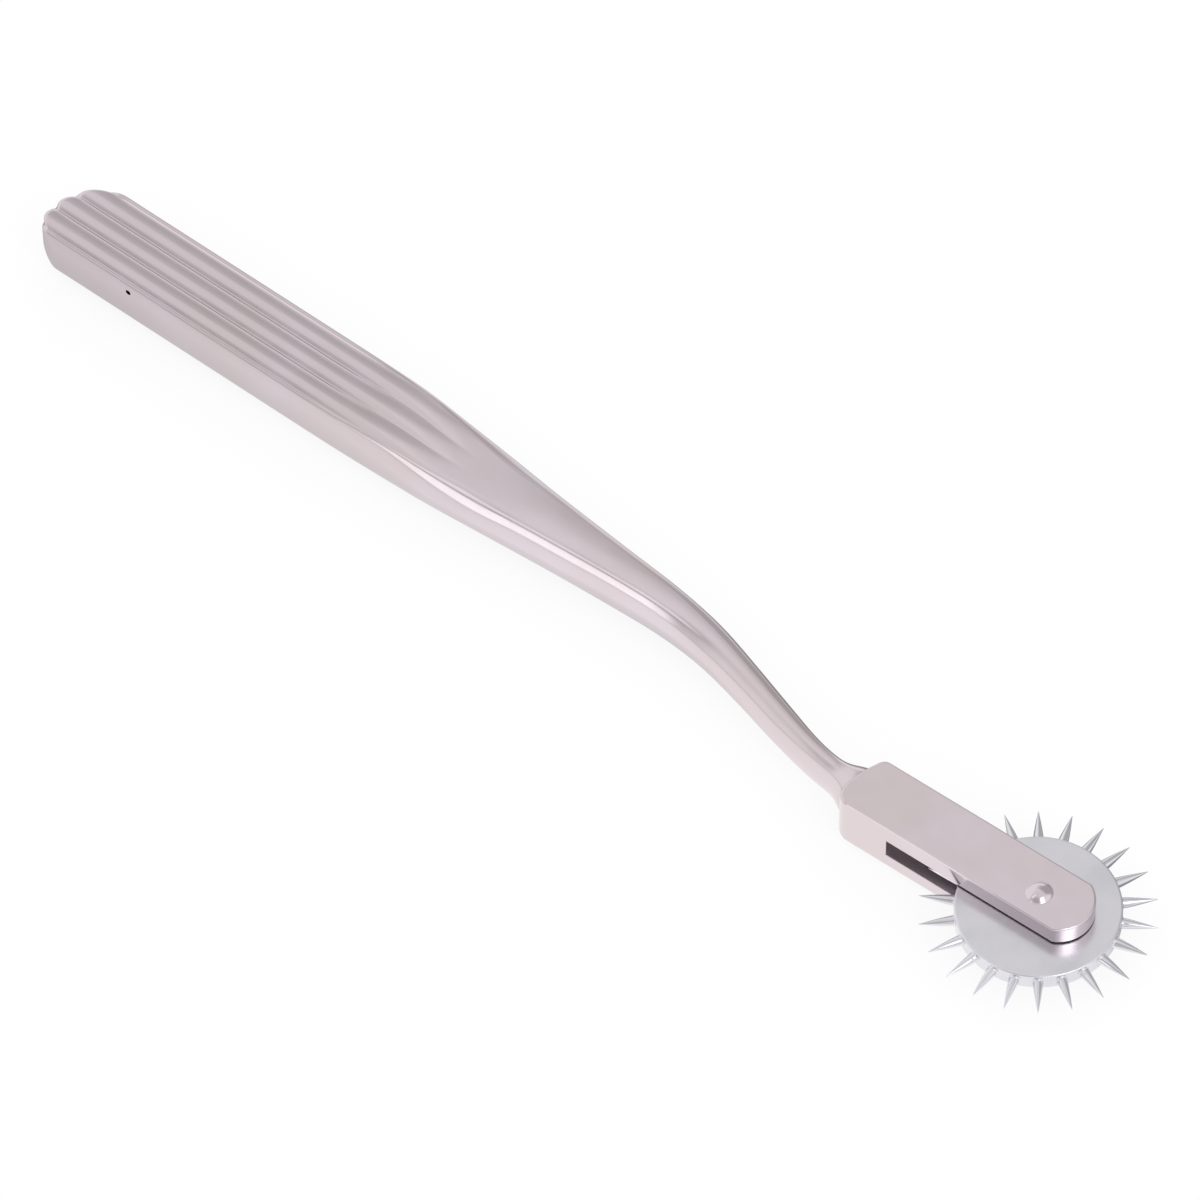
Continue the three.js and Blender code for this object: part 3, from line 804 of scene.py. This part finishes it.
class PINWHEEL_OT_pins(Operator):
    """Turn the pins and set them round the disc"""
    bl_idname = "pinwheel.pins"
    bl_label = "Pins"

    def execute(self, context):
        wheel, finish = context.scene.pinwheel_wheel, context.scene.pinwheel_finish
        material = bright_steel("bright_pin", finish, finish.pin_roughness)
        profile = self.pin_profile(wheel)
        for place in range(wheel.pins):
            mesh = turned(profile, PIN_STEPS)
            turn = wheel.rest + 2 * math.pi * place / wheel.pins
            set_in = (Matrix.Translation(AXLE) @ Matrix.Rotation(turn, 4, "Z")
                      @ Matrix.Rotation(math.pi / 2, 4, "Y"))
            bmesh.ops.transform(mesh, matrix=set_in, verts=mesh.verts)
            number = f"{place + 1:02d}"
            finish_piece(mesh, f"pin_turned_{number}", "wheel", [f"pin_{number}"],
                         material)
        return {"FINISHED"}

    @staticmethod
    def pin_profile(wheel):
        """Radii and heights of a pin over the axle: shank in the disc, fillet and bellied taper."""
        base, tip = wheel.disc / 2, wheel.points / 2
        inner, shank, foot = base - wheel.pin_depth, wheel.pin_base / 2, wheel.pin_foot / 2
        fillet = (wheel.pin_foot - wheel.pin_base) / 2
        profile = [(0, inner), (shank, inner), (foot, base - fillet)]
        profile += arc((foot, base + fillet), fillet, 270, 180, PIN_FOOT_STEPS)
        start = profile[-1][1]
        for step in range(1, TAPER_STEPS + 1):
            share = step / TAPER_STEPS
            radius = mix(wheel.pin_base, wheel.pin_point, share ** wheel.belly) / 2
            profile.append((radius, mix(start, tip - wheel.pin_point / 2, share)))
        return [*profile, (0, tip)]


# ---------------------------------------------------------------- studio

# What the metal mirrors of the room, from the front horizon over the top to the back:
# degrees and brightness
ROOM_BANDS = ((0, 0.68), (20, 0.62), (42, 0.48), (52, 0.48), (64, 0.6), (78, 0.76), (106, 0.78),
              (116, 0.76), (125, 0.58), (138, 0.52), (150, 0.53), (159, 0.66), (167, 0.95), (180, 1))
# The plain room on both sides of the bands: its brightness, and how far aside it starts and is full
SIDES_GLOW = 0.92
SIDES_RISE = (0.38, 0.7)
# The dim back of the room: its brightness, and how far along and back it starts and is full
BACK_GLOW = 0.46
BACK_ALONG = (-0.335, -0.25)
BACK_RISE = (0.5, 0.7)
# Painted light and shade on the paper, seen only in the metal: how bright it mirrors the paper, in
# metres from and to
# and in brightness from and to: along the instrument, in front of it and farther in front, behind it,
# and the neck's painted shadow
PAPER_ALONG = (-0.09, -0.01, 0.76, 1)
PAPER_FRONT = (-0.002, 0.014, 1, 0.5)
PAPER_FAR_FRONT = (-0.25, -0.01, 0.8, 1)
PAPER_BEHIND = (0.016, 0.035, 0, 0.4)
PAINTED_SHADE_ALONG = (-0.005, 0.02, 0, 0.42)
PAINTED_SHADE_ACROSS = (0.004, 0.01, 0, 1)
# How much of the paper's white to the eye doesn't depend on the lamps
PAPER_GLOW = 0.85
# Soft boxes: name, place, aim, width and height, and glow
SOFT_LAMPS = (
    ("front_softbox", (-0.125, -0.62, 0.2), (-0.125, 0, 0.2), (0.25, 0.4), 0.68),
    ("upper_softbox", (-0.19, -0.48, 0.575), (0.05, 0, 0), (0.2, 0.32), 0.15),
    ("top_softbox", (-0.165, -0.375, 0.65), (0.07, 0, 0), (0.2, 0.42), 0.35),
    ("far_softbox", (-0.289, 0.59, 0.46), (-0.009, 0, 0), (0.045, 0.37), 0.15),
    ("back_softbox", (-0.19, 0.293, 0.69), (0.05, 0, 0), (0.2, 0.21), 0.08),
    ("right_softbox", (0.8, -0.24, 0.88), (0.05, 0, 0), (0.5, 0.5), 2),
)
# Camera: width of its sensor in mm, and from where to where it sees
SENSOR_WIDTH = 36
CAMERA_REACH = (0.1, 100)


def seen_directly(nodes, path):
    """1 for rays that show the room or the paper to the eye, also through glass, else 0."""
    return nodes.math("MAXIMUM", path.outputs["Is Camera Ray"], path.outputs["Is Transmission Ray"])


def studio_world(world):
    """A white room, plain to the eye, with soft bright and dim bands for the metal to mirror."""
    world.use_nodes = True
    nodes = Nodes(world.node_tree)
    path = nodes.add("ShaderNodeLightPath")
    coords = nodes.add("ShaderNodeTexCoord")
    along, back, up = nodes.add("ShaderNodeSeparateXYZ", {0: coords.outputs["Generated"]}).outputs
    turn = nodes.math("DIVIDE", nodes.math("ARCTAN2", up, nodes.math("MULTIPLY", back, -1)), math.pi)
    bands = nodes.add("ShaderNodeValToRGB", {"Fac": turn})
    ramp = bands.color_ramp
    ramp.interpolation = "EASE"
    while len(ramp.elements) < len(ROOM_BANDS):
        ramp.elements.new(1)
    for stop, (angle, glow) in zip(ramp.elements, ROOM_BANDS):
        stop.position = angle / 180
        stop.color = (glow, glow, glow, 1)
    sides = nodes.spread(nodes.math("ABSOLUTE", along), *SIDES_RISE, 0, 1, "SMOOTHSTEP")
    dim = nodes.math("MULTIPLY", nodes.spread(along, *BACK_ALONG, 0, 1),
                     nodes.spread(back, *BACK_RISE, 0, 1))
    over = nodes.spread(dim, 0, 1, bands.outputs["Color"], BACK_GLOW)
    room = nodes.spread(sides, 0, 1, over, SIDES_GLOW)
    mirrored = nodes.spread(path.outputs["Is Glossy Ray"], 0, 1, 1, room)
    strength = nodes.math("MAXIMUM", mirrored, seen_directly(nodes, path))
    background = nodes.add("ShaderNodeBackground", {"Color": (1, 1, 1, 1), "Strength": strength})
    nodes.add("ShaderNodeOutputWorld", {"Surface": background.outputs[0]})


def paper_floor(studio):
    """White paper, white to the eye and with a soft shadow. The metal mirrors it with painted light in
    front and painted shade behind.
    """
    material, nodes = new_material("white_paper")
    path = nodes.add("ShaderNodeLightPath")
    coords = nodes.add("ShaderNodeTexCoord")
    along, across, _ = nodes.add("ShaderNodeSeparateXYZ", {0: coords.outputs["Object"]}).outputs
    # Painted light and shade for the metal to mirror: brighter in front, darker just behind the
    # instrument
    front = nodes.math("MULTIPLY", nodes.spread(across, *PAPER_FRONT),
                       nodes.spread(across, *PAPER_FAR_FRONT))
    front = nodes.math("MULTIPLY", nodes.spread(along, *PAPER_ALONG), front)
    lit = nodes.math("ADD", front, nodes.spread(across, *PAPER_BEHIND))
    # Painted shadow of the neck on the paper, seen only in the metal
    shade = nodes.math("MULTIPLY", nodes.spread(along, *PAINTED_SHADE_ALONG),
                       nodes.spread(across, *PAINTED_SHADE_ACROSS))
    lit = nodes.math("MULTIPLY", lit, nodes.math("SUBTRACT", 1, shade))
    seen = seen_directly(nodes, path)
    glow = nodes.add("ShaderNodeEmission", {
        "Color": (1, 1, 1, 1), "Strength": nodes.spread(seen, 0, 1, lit, 1),
    })
    diffuse = nodes.add("ShaderNodeBsdfDiffuse", {"Color": opaque(studio.paper)})
    share = nodes.math("MAXIMUM", nodes.math("MULTIPLY", seen, PAPER_GLOW),
                       path.outputs["Is Glossy Ray"])
    surface = nodes.add("ShaderNodeMixShader", {0: share, 1: diffuse.outputs[0], 2: glow.outputs[0]})
    nodes.add("ShaderNodeOutputMaterial", {"Surface": surface.outputs[0]})
    return material


def soft_lamp(name, place, aim, size, glow):
    """A soft box that faces the point it is aimed at, as bright as its glow says where 1 is white."""
    data = bpy.data.lights.new(name, "AREA")
    data.shape = "RECTANGLE"
    data.size, data.size_y = size
    data.energy = glow * math.pi * size[0] * size[1]
    lamp = bpy.data.objects.new(name, data)
    bpy.context.scene.collection.objects.link(lamp)
    lamp.location = place
    lamp.rotation_euler = (Vector(aim) - Vector(place)).to_track_quat("-Z", "Y").to_euler()


class PINWHEEL_OT_studio(Operator):
    """Set the paper floor, the soft lamps, the room and the camera"""
    bl_idname = "pinwheel.studio"
    bl_label = "Studio"

    def execute(self, context):
        scene = context.scene
        self.lay_floor(scene)
        scene.world = bpy.data.worlds.new("studio_room")
        studio_world(scene.world)
        for lamp in SOFT_LAMPS:
            soft_lamp(*lamp)
        self.set_camera(scene)
        scene.view_settings.view_transform = "Standard"
        return {"FINISHED"}

    @staticmethod
    def lay_floor(scene):
        """Lay the square of white paper under the instrument."""
        studio = scene.pinwheel_studio
        mesh = bmesh.new()
        bmesh.ops.create_grid(mesh, x_segments=1, y_segments=1, size=studio.floor / 2)
        bmesh.ops.translate(mesh, verts=mesh.verts, vec=(0, 0, FRAME_BOX[0][2]))
        data = bpy.data.meshes.new("paper_floor")
        mesh.to_mesh(data)
        mesh.free()
        data.materials.append(paper_floor(studio))
        floor = bpy.data.objects.new("paper_floor", data)
        scene.collection.objects.link(floor)

    @staticmethod
    def set_camera(scene):
        """Set the camera at its distance and angles from the point it looks at."""
        studio = scene.pinwheel_studio
        data = bpy.data.cameras.new("camera")
        data.sensor_width = SENSOR_WIDTH
        data.lens = studio.lens / MM
        data.clip_start, data.clip_end = CAMERA_REACH
        camera = bpy.data.objects.new("camera", data)
        scene.collection.objects.link(camera)
        away = Vector((math.sin(studio.azimuth) * math.cos(studio.elevation),
                       -math.cos(studio.azimuth) * math.cos(studio.elevation),
                       math.sin(studio.elevation)))
        camera.location = AXLE + Vector(studio.aim) + away * studio.distance
        camera.rotation_euler = away.to_track_quat("Z", "Y").to_euler()
        scene.camera = camera


class PINWHEEL_PT_sidebar(Panel):
    """The pinwheel's pieces, in the order they are made"""
    bl_label = "Pinwheel"
    bl_idname = "PINWHEEL_PT_sidebar"
    bl_space_type = "VIEW_3D"
    bl_region_type = "UI"
    bl_category = "Pinwheel"

    def draw(self, context):
        for operator in OPERATORS:
            self.layout.operator(operator.bl_idname)
        for group in GROUPS:
            settings = getattr(context.scene, group)
            box = self.layout.box()
            for name in settings.__annotations__:
                box.prop(settings, name)


GROUPS = {
    "pinwheel_handle": PinwheelHandle,
    "pinwheel_fork": PinwheelFork,
    "pinwheel_rivet": PinwheelRivet,
    "pinwheel_wheel": PinwheelWheel,
    "pinwheel_finish": PinwheelFinish,
    "pinwheel_studio": PinwheelStudio,
}
OPERATORS = (PINWHEEL_OT_handle, PINWHEEL_OT_fork, PINWHEEL_OT_rivet, PINWHEEL_OT_disc,
             PINWHEEL_OT_pins, PINWHEEL_OT_studio)


def register():
    for name, group in GROUPS.items():
        bpy.utils.register_class(group)
        setattr(bpy.types.Scene, name, PointerProperty(type=group))
    for item in (*OPERATORS, PINWHEEL_PT_sidebar):
        bpy.utils.register_class(item)


def unregister():
    for item in reversed((*OPERATORS, PINWHEEL_PT_sidebar)):
        bpy.utils.unregister_class(item)
    for name, group in GROUPS.items():
        delattr(bpy.types.Scene, name)
        bpy.utils.unregister_class(group)


def main():
    register()
    bpy.ops.pinwheel.handle()
    bpy.ops.pinwheel.fork()
    bpy.ops.pinwheel.rivet()
    bpy.ops.pinwheel.disc()
    bpy.ops.pinwheel.pins()
    bpy.ops.pinwheel.studio()


if __name__ == "__main__":
    main()
